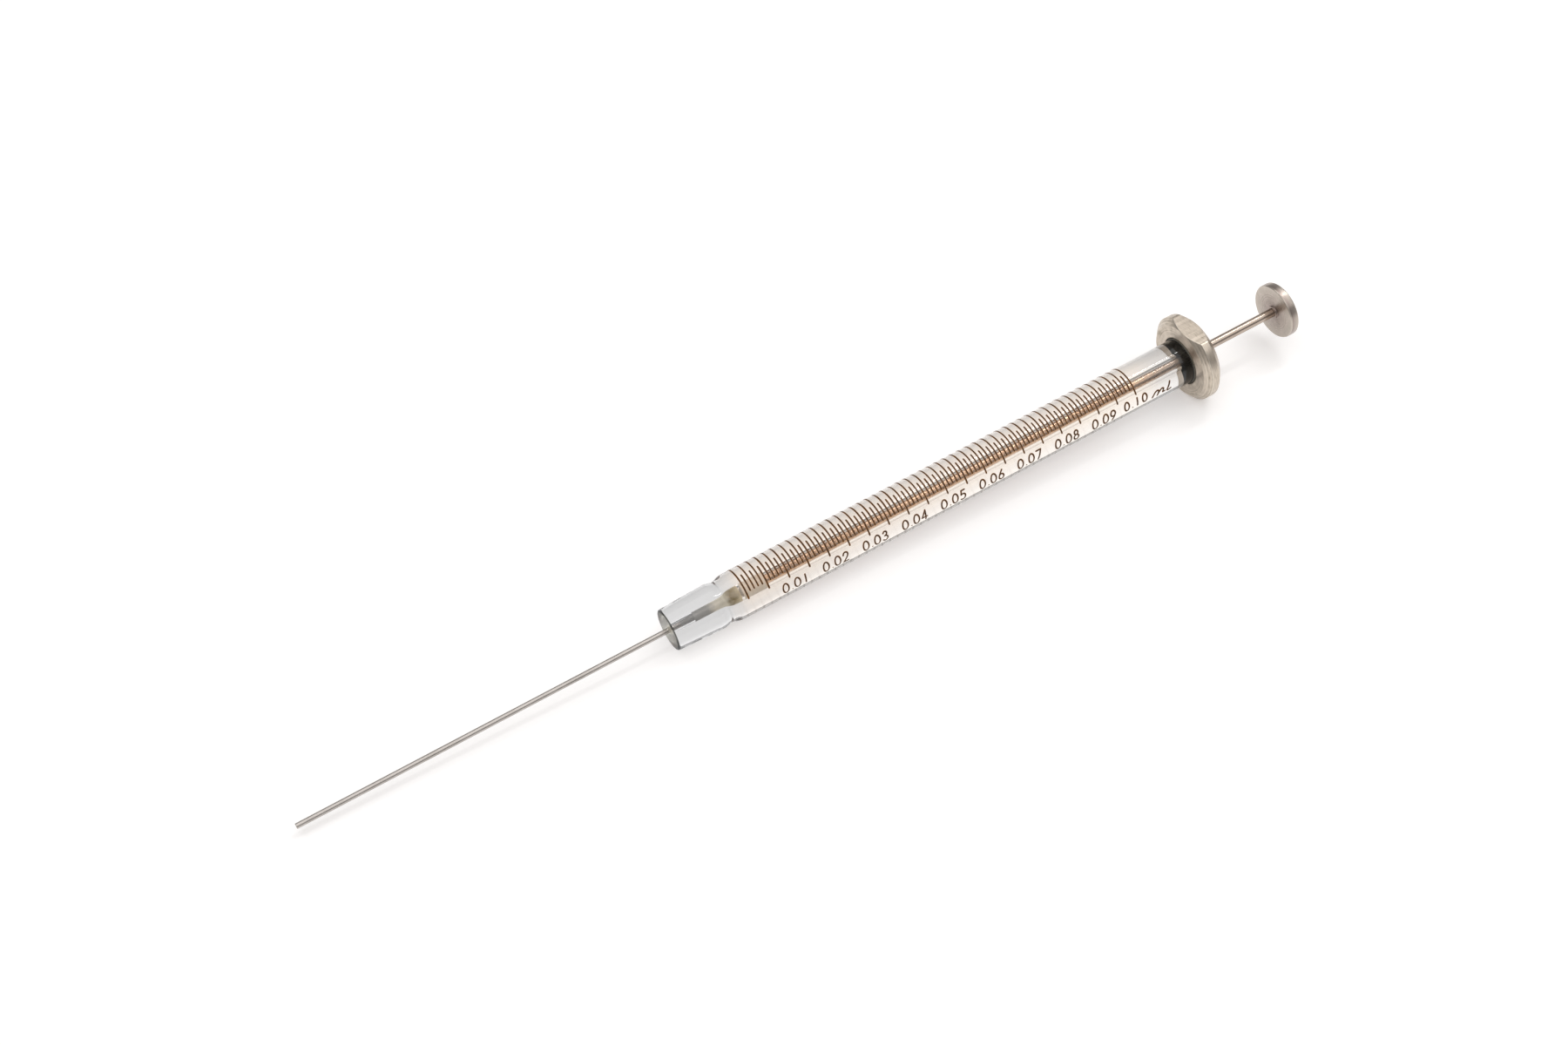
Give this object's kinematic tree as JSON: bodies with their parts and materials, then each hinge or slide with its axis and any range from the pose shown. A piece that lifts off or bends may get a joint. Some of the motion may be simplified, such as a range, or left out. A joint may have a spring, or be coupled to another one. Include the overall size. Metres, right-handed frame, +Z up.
{
  "type": "microsyringe",
  "caption": "Glass microsyringe with a brown enamel scale, a cemented blunt needle, a round finger flange with two flats and a sliding plunger, lying at rest.",
  "frame": {"origin": "on the ground, under the middle of the whole syringe as it lies with the plunger pushed in", "axes": "+X from the needle towards the thumb button, along the ground; +Z up; the syringe's own axis leans up by 1.70 degrees towards +X, as it lies on its flange"},
  "size_m": [0.1484, 0.0124, 0.0107],
  "materials": {
    "glass": "clear drawn borosilicate glass, fire polished",
    "enamel": "fired brown enamel",
    "nickel": "turned and nickel plated, satin",
    "dark_cement": "dark cured cement",
    "steel": "drawn stainless steel, fine ground",
    "amber_cement": "amber cured resin",
    "ptfe": "white PTFE"
  },
  "bodies": {
    "barrel": {"barrel": "glass", "graduations": "enamel", "flange": "nickel", "flange_cement": "dark_cement", "needle": "steel", "needle_cement": "amber_cement"},
    "plunger": {"plunger_rod": "steel", "plunger_tip": "ptfe", "plunger_button": "nickel"}
  },
  "joints": [
    {"name": "plunger_slide", "type": "slide", "parent": "barrel", "child": "plunger", "axis": [0.9996, 0, 0.0297], "range_m": [0, 0.06]}
  ]
}
